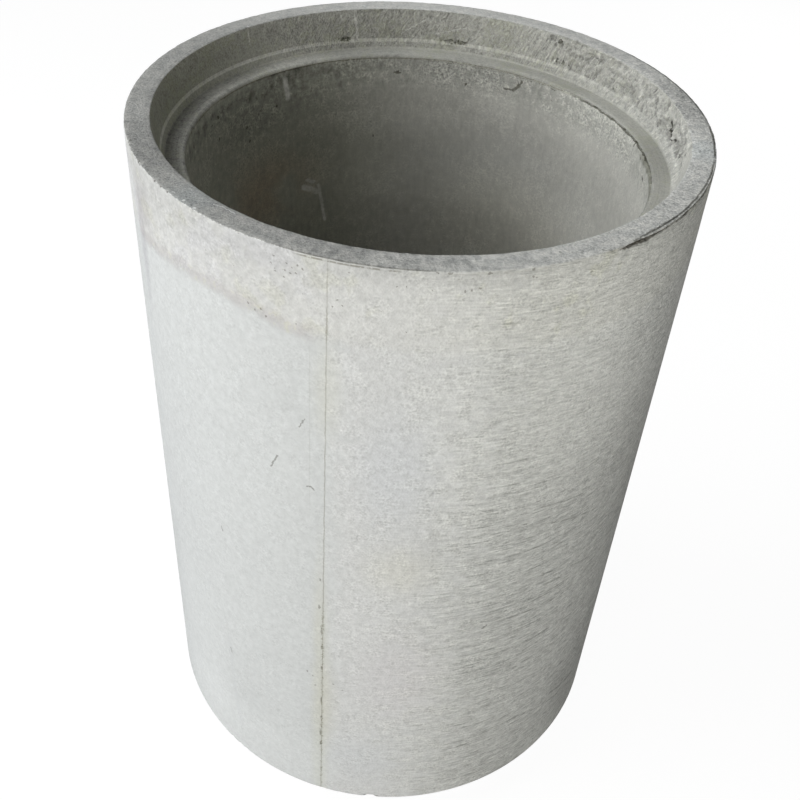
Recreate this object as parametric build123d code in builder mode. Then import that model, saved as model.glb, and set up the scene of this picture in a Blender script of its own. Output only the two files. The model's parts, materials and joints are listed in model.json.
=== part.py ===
# Concrete sewer pipe of one cast piece, standing on its spigot with its socket up.
# The joint is formed inside the wall, so that the barrel runs straight from end to end.
# The origin is the centre of the spigot's end face, and +Z runs up the pipe's axis.

from build123d import *
import os

# Barrel
bore_diameter = 600
wall_thickness = 70
barrel_length = 1030

# Socket, cut into the wall at the upper end
rim_width = 32
socket_wall_depth = 45
socket_wall_taper = 8
seal_step_depth = 11
seal_step_taper = 5.5

# Room that the socket leaves round the spigot of the next pipe
joint_gap = 6
end_gap = 6

# Edges as the mould leaves them
rim_edge_radius = 2
mouth_edge_radius = 4
ledge_lip_radius = 4
shoulder_edge_radius = 3
spigot_edge_radius = 3

# Radii of the walls
bore_radius = bore_diameter / 2
barrel_radius = bore_radius + wall_thickness
mouth_radius = barrel_radius - rim_width
socket_wall_radius = mouth_radius - socket_wall_taper
ledge_radius = socket_wall_radius - seal_step_taper

# Depths below the rim, and how far the spigot reaches below the shoulder
ledge_depth = socket_wall_depth + seal_step_depth
spigot_wall_length = socket_wall_depth - end_gap
spigot_length = ledge_depth - end_gap

# Heights above the spigot's end face
shoulder_height = spigot_length
spigot_wall_height = shoulder_height - spigot_wall_length
rim_height = shoulder_height + barrel_length
socket_wall_height = rim_height - socket_wall_depth
ledge_height = rim_height - ledge_depth

# Outline of the wall in the XZ plane, each corner with the radius that rounds it.
# The foot of the bore and the inner corners stay sharp, with a radius of 0.
# It starts at the foot of the bore, goes up the outside and comes back through the socket.
corners = [
    ((bore_radius, 0), 0),
    ((ledge_radius - joint_gap, 0), spigot_edge_radius),
    ((socket_wall_radius - joint_gap, spigot_wall_height), 0),
    ((mouth_radius - joint_gap, shoulder_height), 0),
    ((barrel_radius, shoulder_height), shoulder_edge_radius),
    ((barrel_radius, rim_height), rim_edge_radius),
    ((mouth_radius, rim_height), mouth_edge_radius),
    ((socket_wall_radius, socket_wall_height), 0),
    ((ledge_radius, ledge_height), 0),
    ((bore_radius, ledge_height), ledge_lip_radius),
]

# The pipe: the wall's outline turned once round the axis
with BuildPart() as pipe:
    with BuildSketch(Plane.XZ) as wall:
        with BuildLine() as outline:
            FilletPolyline(
                [point for point, radius in corners],
                radius=[radius for point, radius in corners],
                close=True,
            )
        make_face()
    revolve(axis=Axis.Z)

pipe.part.label = "pipe"
os.makedirs("parts", exist_ok=True)
export_step(pipe.part, "parts/pipe.step")

print("overall height", rim_height, "outside diameter", 2 * barrel_radius)
print("volume in litres", round(pipe.part.volume / 1e6, 3))
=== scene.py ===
# %% [markdown]
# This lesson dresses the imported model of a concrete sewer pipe, so that it looks like the cast piece.
# The pipe stands on its spigot, and its socket, which takes the next pipe, is open at the top.
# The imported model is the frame: it holds the real sizes, and everything here is built round it in
# metres. The box of the frame is kept, because the finished pipe has to stay inside it.

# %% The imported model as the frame
import json
import math

import bpy
import numpy as np
from mathutils import Matrix, Vector


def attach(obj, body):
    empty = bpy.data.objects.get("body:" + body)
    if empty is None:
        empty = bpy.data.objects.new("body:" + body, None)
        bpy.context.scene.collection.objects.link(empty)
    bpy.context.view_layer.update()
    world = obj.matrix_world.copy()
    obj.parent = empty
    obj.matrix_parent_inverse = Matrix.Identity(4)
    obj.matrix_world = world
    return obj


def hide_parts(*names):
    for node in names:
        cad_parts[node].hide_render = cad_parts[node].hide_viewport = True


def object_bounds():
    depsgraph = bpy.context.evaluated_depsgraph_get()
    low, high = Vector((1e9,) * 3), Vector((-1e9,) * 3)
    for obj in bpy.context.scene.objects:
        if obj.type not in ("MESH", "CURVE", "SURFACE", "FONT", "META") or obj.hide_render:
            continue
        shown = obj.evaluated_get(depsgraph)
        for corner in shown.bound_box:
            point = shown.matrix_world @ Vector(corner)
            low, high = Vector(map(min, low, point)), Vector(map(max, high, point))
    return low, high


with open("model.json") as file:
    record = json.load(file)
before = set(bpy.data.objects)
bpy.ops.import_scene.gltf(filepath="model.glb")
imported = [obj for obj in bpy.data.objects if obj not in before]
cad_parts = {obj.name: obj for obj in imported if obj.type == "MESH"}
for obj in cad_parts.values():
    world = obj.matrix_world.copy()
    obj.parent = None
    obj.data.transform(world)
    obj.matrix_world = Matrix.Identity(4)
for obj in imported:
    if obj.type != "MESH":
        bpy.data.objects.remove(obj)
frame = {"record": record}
cad_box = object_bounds()
print("box of the frame", cad_box)

# %% [markdown]
# The camera stands where a person stands who looks down on the pipe: 1.26 m from its axis and 0.59 m
# above its rim. Its place, tilt and roll were fitted to the pipe's outlines, so they are plain numbers
# here. The camera is turned in three steps, yaw, pitch and roll, because each of them is a thing that
# a photographer does, and each can be changed alone.

# %% Camera
mm = 0.001
camera_place = (0, -1.2619, 1.6715)
camera_yaw = -0.0010
camera_pitch = 0.7082
camera_roll = 0.0727
camera_lens = 47.62

camera = bpy.data.objects.new("camera", bpy.data.cameras.new("camera"))
bpy.context.scene.collection.objects.link(camera)
camera.data.sensor_width = 36
camera.data.lens = camera_lens
camera.matrix_world = (
    Matrix.Translation(camera_place)
    @ Matrix.Rotation(-camera_yaw, 4, "Z")
    @ Matrix.Rotation(math.pi / 2 - camera_pitch, 4, "X")
    @ Matrix.Rotation(camera_roll, 4, "Z")
)
bpy.context.scene.camera = camera
print("camera looks down by", round(math.degrees(camera_pitch), 1), "degrees")

# %% [markdown]
# The pipe is one cast piece, so it is one mesh. Its wall is the same outline all the way round. The
# sizes that the frame states are read from its mounts. The ones that it doesn't state, such as the
# tapers of the socket, are named here. The spigot is the socket less the room for the seal. The frame's
# barrel has flat facets, so its box is a hair smaller than the true circle, and the barrel here is drawn
# just as large as that box.

# %% Sizes of the pipe
mounts = {mount["name"]: mount for mount in frame["record"]["mounts"]}
bore_radius = mounts["bore"]["dims"]["r_mm"] * mm
box_sides = [abs(corner[axis]) for corner in cad_box for axis in (0, 1)]
barrel_radius = min([mounts["barrel"]["dims"]["r_mm"] * mm] + box_sides)
rim_height = mounts["rim_face"]["pos_m"][2]
ledge_height = mounts["socket_ledge"]["pos_m"][2]
shoulder_height = mounts["shoulder"]["pos_m"][2]

rim_width = 32 * mm
socket_wall_depth = 45 * mm
socket_wall_taper = 8 * mm
seal_step_taper = 5.5 * mm
joint_gap = 6 * mm
end_gap = 6 * mm

mouth_radius = barrel_radius - rim_width
socket_foot_radius = mouth_radius - socket_wall_taper
socket_foot_height = rim_height - socket_wall_depth
ledge_radius = socket_foot_radius - seal_step_taper
spigot_foot_height = shoulder_height - (socket_wall_depth - end_gap)
print("outside diameter", 2 * barrel_radius, "bore", 2 * bore_radius, "rim at", rim_height)

# %% [markdown]
# The outline is a list of places on the wall, each with its radius and height. Most are corners. The
# others only divide a long straight wall into a stretch that gets fine faces, because relief is cut
# into it, and one that stays coarse. The last number is how many rings are cut into the wall on the
# way to that place: about one each 4 mm round the mouth, and one each 100 mm down the barrel.

# %% Outline of the wall
top_band = 90 * mm
foot_band = 24 * mm
lip_band = 60 * mm
seen_bore = 460 * mm

outline = [
    # radius, height, rings cut into the wall on the way there
    (bore_radius, 0, 3),
    (ledge_radius - joint_gap, 0, 1),
    (socket_foot_radius - joint_gap, spigot_foot_height, 1),
    (mouth_radius - joint_gap, shoulder_height, 1),
    (barrel_radius, shoulder_height, 2),
    (barrel_radius, shoulder_height + foot_band, 4),
    (barrel_radius, rim_height - top_band, 8),
    (barrel_radius, rim_height, 16),
    (mouth_radius, rim_height, 8),
    (socket_foot_radius, socket_foot_height, 11),
    (ledge_radius, ledge_height, 3),
    (bore_radius, ledge_height, 7),
    (bore_radius, ledge_height - lip_band, 9),
    (bore_radius, ledge_height - seen_bore, 8),
]
print("places on the outline", len(outline))

# %% [markdown]
# A ring of 480 points makes a column each 4.8 mm on the outside. The ring is drawn at the foot of the
# bore, pulled along the outline from place to place, and joined to its start by a bridge. That is how a
# potter's wheel would make it, and it closes without a seam in the mesh. The mould of the real pipe opens
# in two halves, so the ring is turned to put one column exactly on the line where the halves meet, and
# the opposite column lands on the other line by itself.

# %% Helpers to pick parts of a mesh by their place
columns = 480
column_step = 360 / columns
mould_line = -13.2

bpy.ops.object.select_all(action="DESELECT")


def places_of(piece):
    """The places of a mesh's points, one row each."""
    places = np.empty(3 * len(piece.data.vertices))
    piece.data.vertices.foreach_get("co", places)
    return places.reshape(-1, 3)


def turned(places):
    """The radius, the angle in degrees and the height of each place. Angle 0 looks at the camera."""
    radius = np.hypot(places[:, 0], places[:, 1])
    angle = np.degrees(np.arctan2(places[:, 0], -places[:, 1]))
    return radius, angle, places[:, 2]


def pick(piece, kind, wanted):
    """Select the points, edges or faces for which wanted is true, and go into edit mode."""
    for other in ("vertices", "edges", "polygons"):
        parts = getattr(piece.data, other)
        parts.foreach_set("select", wanted if other == kind else np.zeros(len(parts), bool))
    bpy.ops.object.mode_set(mode="EDIT")
    bpy.ops.mesh.select_mode(type={"vertices": "VERT", "edges": "EDGE", "polygons": "FACE"}[kind])


def done():
    bpy.ops.object.mode_set(mode="OBJECT")


# %% The wall pulled round the outline
start_radius, start_height, closing_rings = outline[0]
bpy.ops.mesh.primitive_circle_add(
    vertices=columns,
    radius=start_radius,
    fill_type="NOTHING",
    location=(0, 0, start_height),
    rotation=(0, 0, math.radians(mould_line)),
)
pipe = bpy.context.object
pipe.name = "concrete_pipe"
pipe.data.name = "concrete_pipe"
bpy.ops.object.transform_apply(location=True, rotation=True, scale=True)
bpy.ops.object.mode_set(mode="EDIT")
bpy.ops.mesh.select_mode(type="EDGE")
bpy.ops.mesh.select_all(action="SELECT")
for (radius, height, _), (next_radius, next_height, _) in zip(outline, outline[1:]):
    climb = (0, 0, next_height - height)
    growth = next_radius / radius
    bpy.ops.mesh.extrude_edges_move(TRANSFORM_OT_translate={"value": climb})
    bpy.ops.transform.resize(value=(growth, growth, 1), center_override=(0, 0, next_height))
bpy.ops.mesh.select_all(action="DESELECT")
bpy.ops.mesh.select_non_manifold()
bpy.ops.mesh.bridge_edge_loops()
bpy.ops.mesh.select_all(action="SELECT")
bpy.ops.mesh.normals_make_consistent(inside=False)
done()
print("faces of the bare wall", len(pipe.data.polygons))

# %% [markdown]
# The mould leaves every outer edge slightly round: about 2 mm at the rim and at the mouth, 3 mm at the
# shoulder and 4 mm at the lip of the ledge. The bevel is made before the wall is cut into rings, because
# a bevel can't be wider than the face beside it. The rings come after, wall by wall: the long edges of
# one wall are found by the middle between its two ends.

# %% Rounded edges
rounded = [
    # radius, height, how far the rounding reaches
    (barrel_radius, rim_height, 2 * mm),
    (mouth_radius, rim_height, 1.8 * mm),
    (bore_radius, ledge_height, 4 * mm),
    (barrel_radius, shoulder_height, 3 * mm),
    (ledge_radius - joint_gap, 0, 1.8 * mm),
]
touch = 0.2 * mm


def edge_ends(piece):
    """Radius and height of both ends of each edge."""
    radius, _, height = turned(places_of(piece))
    ends = np.empty(2 * len(piece.data.edges), np.int32)
    piece.data.edges.foreach_get("vertices", ends)
    first, second = ends.reshape(-1, 2).T
    return radius[first], height[first], radius[second], height[second]


for radius, height, reach in rounded:
    r1, h1, r2, h2 = edge_ends(pipe)
    off = np.abs(r1 - radius) + np.abs(r2 - radius) + np.abs(h1 - height) + np.abs(h2 - height)
    pick(pipe, "edges", off < touch)
    bpy.ops.mesh.bevel(offset=reach, segments=3, affect="EDGES")
    done()
print("faces with rounded edges", len(pipe.data.polygons))

# %% Rings cut into each wall
middle_reach = 3 * mm
for (radius, height, _), (next_radius, next_height, rings) in zip(outline[-1:] + outline, outline):
    if next_radius == start_radius and next_height == start_height:
        rings = closing_rings
    r1, h1, r2, h2 = edge_ends(pipe)
    middle_off = np.hypot(
        (r1 + r2) / 2 - (radius + next_radius) / 2,
        (h1 + h2) / 2 - (height + next_height) / 2,
    )
    along = np.hypot(r1 - r2, h1 - h2)
    pick(pipe, "edges", (middle_off < middle_reach) & (along > touch))
    bpy.ops.mesh.subdivide(number_cuts=rings)
    done()
print("faces with rings", len(pipe.data.polygons))

# %% [markdown]
# The two lines where the mould's halves meet are fine grooves from the rim to the shoulder. The two
# columns beside the line are brought close to it, and the column on the line goes in by a third of a
# millimetre. A dark line in the colour would do from afar, but a narrow groove made of real faces also
# catches the light along its edges, from every side.

# %% Mould lines
groove_half_width = 0.8 * mm
groove_depth = 0.3 * mm
outer_skin = 2.5 * mm


def pick_column(angle):
    """Select one column of points on the outside of the barrel."""
    radius, angles, height = turned(places_of(pipe))
    off = np.abs((angles - angle + 180) % 360 - 180)
    outside = radius > barrel_radius - outer_skin
    pick(pipe, "vertices", outside & (off < column_step / 4))


for line in (mould_line, mould_line + 180):
    out = (math.sin(math.radians(line)), -math.cos(math.radians(line)), 0)
    aside = (math.cos(math.radians(line)), math.sin(math.radians(line)), 0)
    column_gap = barrel_radius * math.radians(column_step)
    for side in (-1, 1):
        pick_column(line + side * column_step)
        slide = -side * (column_gap - groove_half_width)
        bpy.ops.transform.translate(value=[slide * part for part in aside])
        done()
    pick_column(line)
    bpy.ops.transform.translate(value=[-groove_depth * part for part in out])
    done()
print("mould lines at", mould_line, "and", mould_line + 180, "degrees")

# %% [markdown]
# Where the concrete is torn or broken, the faces have to be finer than elsewhere. A face of such a patch
# is divided into three by three, or two by two, which are then 1 to 2.5 mm wide. The whole pipe could be
# that fine, but it would have up to nine times the faces and look no different.

# %% Finer faces where the surface is broken


def within(angle, low, high):
    """True where an angle in degrees lies between low and high, going round if need be."""
    return (angle - low) % 360 <= (high - low) % 360


def face_middles(piece):
    """The radius, the angle and the height of each face's middle."""
    middles = np.empty(3 * len(piece.data.polygons))
    piece.data.polygons.foreach_get("center", middles)
    return turned(middles.reshape(-1, 3))


def divide(radii, heights, angles, cuts):
    """Divide the faces between two radii, two heights and two angles by so many cuts."""
    radius, angle, height = face_middles(pipe)
    inside = (radius > radii[0]) & (radius < radii[1]) & (height > heights[0]) & (height < heights[1])
    pick(pipe, "polygons", inside & within(angle, *angles))
    bpy.ops.mesh.subdivide(number_cuts=cuts)
    done()


past_mouth = mouth_radius + 1 * mm
past_barrel = barrel_radius + 1 * mm
past_lip = bore_radius + 6 * mm
finer_patches = [
    # two radii, two heights, two angles, cuts
    # the torn right side of the socket, and its back
    ((ledge_radius, past_mouth), (ledge_height, rim_height), (80, 150), 2),
    ((ledge_radius + 2 * mm, past_mouth), (socket_foot_height, rim_height), (162, 206), 1),
    # the gap under the rim's outer edge, and the crack that runs on from it
    ((barrel_radius - 4 * mm, past_barrel), (rim_height - 14 * mm, rim_height), (30, 62), 2),
    ((barrel_radius - 4 * mm, past_barrel), (rim_height - 8 * mm, rim_height), (62, 112), 1),
    # the chipped edge on the left
    ((barrel_radius - 10 * mm, past_barrel), (rim_height - 8 * mm, rim_height + 1 * mm), (-74, -44), 1),
    # the lip of the ledge on the right, and the crack below it
    ((bore_radius - 1 * mm, past_lip), (ledge_height - 16 * mm, ledge_height + 1 * mm), (60, 155), 1),
]
for patch in finer_patches:
    divide(*patch)
print("faces with finer patches", len(pipe.data.polygons))

# %% [markdown]
# The relief comes from two tools. Displace modifiers sink the surface, evenly or by a pattern of clouds or
# cells, each held to its place by a group of points with a weight. Single pits are pressed in one by one,
# with a soft selection round a few points. A sculpted surface would do as well, but a weight and a depth can
# be read and changed. All of the relief goes into the wall and none of it out of it, so the pipe keeps its
# size.

# %% Tools for the relief
as_cast = places_of(pipe)
radius, angle, height = turned(as_cast)
depth = (rim_height - height) / mm


def soft_step(values, low, high):
    """0 at low and 1 at high, with a soft way between them. It falls where high is the lower one."""
    share = np.clip((values - low) / (high - low), 0, 1)
    return share * share * (3 - 2 * share)


def arc_weight(low, high, soft):
    """1 between two angles and 0 outside them, with a soft way of some degrees at both ends."""
    middle = (low + high) / 2
    off = np.abs((angle - middle + 180) % 360 - 180)
    return soft_step(off, (high - low) / 2 + soft, (high - low) / 2)


def hill(values, top, half_width):
    """1 at the top and falling away on both sides, like a bell."""
    return np.exp(-(((values - top) / half_width) ** 2))


def sink(name, weights, deep, pattern=None):
    """Sink points along their normals, as deep as their weights and a pattern say."""
    group = pipe.vertex_groups.new(name=name)
    levels = 20
    for level in range(1, levels + 1):
        chosen = np.flatnonzero(np.round(weights * levels) == level)
        group.add([int(i) for i in chosen], level / levels, "REPLACE")
    modifier = pipe.modifiers.new(name, "DISPLACE")
    modifier.vertex_group = name
    if pattern:
        modifier.texture = pattern
        modifier.texture_coords = "LOCAL"
        modifier.mid_level = 1
        modifier.strength = deep
    else:
        modifier.mid_level = 0
        modifier.strength = -deep
    bpy.ops.object.modifier_apply(modifier=name)
    print(name, "points", int((weights > 0.05).sum()))


def clouds(name, size, detail, contrast=1.0, brightness=1.0):
    """Soft lumps of a size, with finer lumps in them where the detail is higher."""
    pattern = bpy.data.textures.new(name, "CLOUDS")
    pattern.noise_scale = size
    pattern.noise_depth = detail
    pattern.contrast = contrast
    pattern.intensity = brightness
    return pattern


def cells(name, size, contrast, brightness):
    """Round hollows at the middles of cells: 0 in the hollow and 1 between them."""
    pattern = bpy.data.textures.new(name, "VORONOI")
    pattern.noise_scale = size
    pattern.distance_metric = "DISTANCE"
    pattern.contrast = contrast
    pattern.intensity = brightness
    return pattern


# %% [markdown]
# The ring that forms the socket tears the stiff concrete when it comes out, so the socket's wall is rough
# at the back and flaky on the right, where the concrete was not packed well. The worst of it is a crack
# with pits beside it, low on the right side. So three patterns lie over each other: lumps nearly all
# round, flakes on the right, and hollows where the wall is worst.

# %% Torn wall of the socket
socket_wall = (
    (height > ledge_height + 2.5 * mm)
    & (height < rim_height - 3 * mm)
    & (radius < mouth_radius + 1 * mm)
    & (radius > ledge_radius + 1 * mm)
)
above_step = soft_step(height, socket_foot_height - 1 * mm, socket_foot_height + 3 * mm)
worst = hill(angle, 97, 8) * hill(depth, 31, 9)
second = hill(angle, 144, 4) * hill(depth, 12, 5) + hill(angle, 144, 2.5) * hill(depth, 37, 3)
flaky = socket_wall * arc_weight(86, 138, 8) * np.maximum(above_step, 0.5)
rough = socket_wall * np.maximum(arc_weight(90, 208, 10), 0.2) * above_step
sink("rough_socket", rough, 1.5 * mm, clouds("lumps", 9 * mm, 3, 1.5))
sink("flaky_socket", flaky, 2.2 * mm, clouds("flakes", 9 * mm, 3, 3.0))
sink("torn_socket", socket_wall * np.clip(worst + second, 0, 1), 2.6 * mm, cells("tears", 6 * mm, 3.0, 1.0))

# %% [markdown]
# The rim was drawn off with a float, so its face is slightly uneven. All its edges are nibbled a little.
# Under the outer edge on the right, a strip of the skin has broken out and left a dark gap with a thin
# crack that runs on from it. On the right a crack also wanders along the bore, just below the rounding of
# the lip. Both cracks are real hollows, because a painted line would have no shadow of its own.

# %% Rim, edges and lip
outer_top = (radius > barrel_radius - 3 * mm) & (height > rim_height - 88 * mm)
skin_weight = outer_top * soft_step(depth, 88, 60)
sink("top_skin", skin_weight, 0.4 * mm, clouds("skin", 12 * mm, 3))

rim_face = (height > rim_height - 3 * mm) & (radius > mouth_radius - 1 * mm)
sink("rim_skin", rim_face, 0.5 * mm, clouds("float_marks", 16 * mm, 3))

edges = [
    # name, radius, height, how deep the nibbles go
    ("worn_rim_edge", barrel_radius, rim_height, 0.35 * mm),
    ("worn_mouth_edge", mouth_radius, rim_height, 0.4 * mm),
    ("worn_lip", bore_radius, ledge_height, 1.0 * mm),
]
for name, edge_radius, edge_height, deep in edges:
    off = np.hypot(radius - edge_radius, height - edge_height) / mm
    sink(name, hill(off, 0, 4), deep, clouds(name, 6 * mm, 2, 3.0, 0.9))

mouth_off = np.hypot(radius - mouth_radius, height - rim_height) / mm
torn_mouth = hill(mouth_off, 0, 6) * arc_weight(80, 205, 15)
sink("torn_mouth_edge", torn_mouth, 1.6 * mm, clouds("torn_mouth", 9 * mm, 3, 1.6))

outside = radius > barrel_radius - 3 * mm
gap_depth = 4.0 + 0.6 * np.sin(angle * 0.9)
gap_width = 2.0 * soft_step(angle, 36, 40) * soft_step(angle, 47, 43) + 0.6
gap = outside * hill(depth, gap_depth, gap_width) * arc_weight(37, 58, 3)
sink("broken_gap", gap, 2.2 * mm)
sink("ragged_gap", gap, 2.6 * mm, clouds("ragged", 4 * mm, 2, 3.0))
crack_on = outside * hill(depth, 2.6, 1.0) * arc_weight(56, 108, 3)
sink("crack_on", crack_on, 1.5 * mm)
under_lip = (radius < bore_radius + 1.5 * mm) & (height > ledge_height - 20 * mm)
lip_wander = 60.6 + 0.7 * np.sin(angle * 0.9) + 0.4 * np.sin(angle * 2.3)
lip_gap = under_lip * hill(depth, lip_wander, 1.7) * arc_weight(58, 128, 16)
sink("lip_crack", lip_gap, 1.5 * mm)
sink("ragged_lip", lip_gap, 1.6 * mm, clouds("lip_crumbs", 5 * mm, 2, 3.0))

# %% [markdown]
# Single pits and chips are pressed in one by one. A pattern could scatter them, but the large ones are
# what the eye finds first, so they lie where the real ones do. Each spot is given by its angle round the
# pipe and its depth below the rim in millimetres, which is how a surveyor would note it down.

# %% Pits and chips pressed in one by one


def press(spots, wall_radius, size, outward, down=0.0):
    """Press the points next to spots of (angle, depth below the rim in mm) outward or down."""
    places = places_of(pipe)
    wanted = np.zeros(len(places), bool)
    for spot_angle, spot_depth in spots:
        turn = math.radians(spot_angle)
        spot = (
            wall_radius * math.sin(turn),
            -wall_radius * math.cos(turn),
            rim_height - spot_depth * mm,
        )
        wanted[np.argmin(((places - spot) ** 2).sum(axis=1))] = True
    pick(pipe, "vertices", wanted)
    soft = {
        "use_proportional_edit": True,
        "proportional_edit_falloff": "SHARP",
        "proportional_size": size,
    }
    growth = 1 + outward / wall_radius
    bpy.ops.transform.resize(value=(growth, growth, 1), center_override=(0, 0, 0), **soft)
    if down:
        bpy.ops.transform.translate(value=(0, 0, -down), **soft)
    done()


socket_middle = (mouth_radius + socket_foot_radius) / 2
deep_pits = [(99.6, 27), (98.4, 30), (97.2, 34), (96.3, 38), (95.2, 33), (90.5, 40), (88.6, 36), (83.9, 20)]
press(deep_pits, socket_middle, 4.5 * mm, outward=7 * mm)
high_pits = [(144.6, 8), (146, 9), (147.5, 6), (142.5, 13), (144.3, 36), (142.4, 37), (133.0, 22)]
press(high_pits, socket_middle, 3.5 * mm, outward=4 * mm)
foot_hollows = [(201.9, 41), (200.5, 43), (203.5, 42), (204.6, 43), (173.4, 42), (171.8, 43), (176, 43)]
press(foot_hollows, socket_foot_radius, 4.5 * mm, outward=4 * mm)
left_chips = [(-67.3, 2), (-66, 1), (-64.5, 3), (-59.4, 1), (-58.6, 2), (-52, 1), (-49.5, 1), (-47.5, 1)]
press(left_chips, barrel_radius, 4.5 * mm, outward=-1.6 * mm, down=1.2 * mm)
lip_pits = [(152.5, 74), (151.5, 77), (188.1, 84), (167.8, 92), (104.1, 64), (98.7, 70), (93.5, 86)]
press(lip_pits, bore_radius, 6 * mm, outward=2.4 * mm)
foot_chips = [(-36, 1029), (-38, 1028), (-41, 1029)]
press(foot_chips, barrel_radius, 6 * mm, outward=-1.5 * mm)
foot_notch = [(-1.4, 1028), (-0.4, 1029), (0.6, 1028)]
press(foot_notch, barrel_radius, 8 * mm, outward=-4 * mm)
pits = deep_pits + high_pits + foot_hollows + lip_pits
print("pits pressed in", len(pits), "and chips", len(left_chips + foot_chips + foot_notch))

# %% [markdown]
# The finishes darken the places where the skin is gone, with dirt and with painted shade in the hollows, and
# the socket's finish lightens its flakes with painted highlights, so they have to know where that is. The way
# that each point has gone since the pipe was cast is kept on the mesh as an attribute, in millimetres.

# %% How much of the skin is gone
lost = np.linalg.norm(places_of(pipe) - as_cast, axis=1) / mm
attribute = pipe.data.attributes.new("lost", "FLOAT", "POINT")
attribute.data.foreach_set("value", lost.astype(np.float32))
pipe.vertex_groups.clear()
print("deepest loss in mm", round(float(lost.max()), 2))
print("triangles", sum(len(face.vertices) - 2 for face in pipe.data.polygons))
bpy.ops.object.shade_smooth_by_angle(angle=math.radians(40))

# %% [markdown]
# A shader's sums read best as sums. The first class holds one socket and turns Python's signs into Math
# nodes. The recipe is a material, or the world, in the making: its node method adds any node, with its
# settings first and then the values or links of its sockets.

# %% Sums of sockets, and the recipe of a material


class Value:
    """A socket that can be added, subtracted and multiplied."""

    def __init__(self, recipe, socket):
        self.recipe = recipe
        self.socket = socket

    def other(self, name):
        """Another output of the same node."""
        return Value(self.recipe, self.socket.node.outputs[name])

    def __add__(self, other):
        return self.recipe.math("ADD", self, other)

    __radd__ = __add__

    def __sub__(self, other):
        return self.recipe.math("SUBTRACT", self, other)

    def __rsub__(self, other):
        return self.recipe.math("SUBTRACT", other, self)

    def __mul__(self, other):
        return self.recipe.math("MULTIPLY", self, other)

    __rmul__ = __mul__

    def __abs__(self):
        return self.recipe.math("ABSOLUTE", self)


class Recipe:
    """A material or a world in the making."""

    def __init__(self, owner):
        self.owner = owner
        owner.use_nodes = True
        self.nodes = owner.node_tree.nodes
        self.links = owner.node_tree.links
        self.nodes.clear()

    def node(self, kind, settings=None, sockets=None, output=0):
        """Add a node and give the socket of one of its outputs."""
        node = self.nodes.new(kind)
        for name, setting in (settings or {}).items():
            setattr(node, name, setting)
        for key, value in (sockets or {}).items():
            found = [s for i, s in enumerate(node.inputs) if key in (i, s.identifier, s.name)]
            if isinstance(value, Value):
                self.links.new(value.socket, found[0])
            else:
                found[0].default_value = value
        for i, socket in enumerate(node.outputs):
            if output in (i, socket.identifier):
                return Value(self, socket)

    def math(self, operation, *terms):
        return self.node("ShaderNodeMath", {"operation": operation}, dict(enumerate(terms)))

    def soft(self, value, low, high):
        """0 at low and 1 at high, with a soft way between them."""
        return self.node(
            "ShaderNodeMapRange",
            {"interpolation_type": "SMOOTHSTEP"},
            {"Value": value, "From Min": low, "From Max": high},
        )

    def noise(self, place, size, detail, roughness, distortion=0.0):
        """A cloud pattern whose lumps are about so many millimetres wide. Its middle is 0.5."""
        return self.node(
            "ShaderNodeTexNoise",
            None,
            {
                "Vector": place,
                "Scale": 1 / size,
                "Detail": detail,
                "Roughness": roughness,
                "Distortion": distortion,
            },
        )

    def blend(self, factor, first, second, way="MIX"):
        """The first colour where the factor is 0, and the second one where it is 1."""
        return self.node(
            "ShaderNodeMix",
            {"data_type": "RGBA", "blend_type": way},
            {"Factor_Float": factor, "A_Color": first, "B_Color": second},
            "Result_Color",
        )

    def vector(self, operation, first, second):
        return self.node("ShaderNodeVectorMath", {"operation": operation}, {0: first, 1: second})

    def length(self, vector):
        return self.node("ShaderNodeVectorMath", {"operation": "LENGTH"}, {0: vector}, "Value")

    def dot(self, first, second):
        sockets = {0: first, 1: second}
        return self.node("ShaderNodeVectorMath", {"operation": "DOT_PRODUCT"}, sockets, "Value")

    def scaled(self, vector, factor):
        sockets = {0: vector, "Scale": factor}
        return self.node("ShaderNodeVectorMath", {"operation": "SCALE"}, sockets)


# %% [markdown]
# Every region of the pipe is the same concrete, but each was formed against something else: the barrel
# against a steel mould, the rim by a float, the socket by a ring that tears the fresh concrete, and the
# bore by a roller. So there is one base, and each region adds its own marks. The base works in
# millimetres on the unrolled wall, like a label that has been peeled off a tin: so far round the pipe,
# and so far below the rim. Single marks are then blots and strokes on that flat sheet. On the rim, which
# is flat already, the sheet is the rim itself, and a mark has an angle and a radius.

# %% The base that all regions share
rim_mm = rim_height / mm


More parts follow.
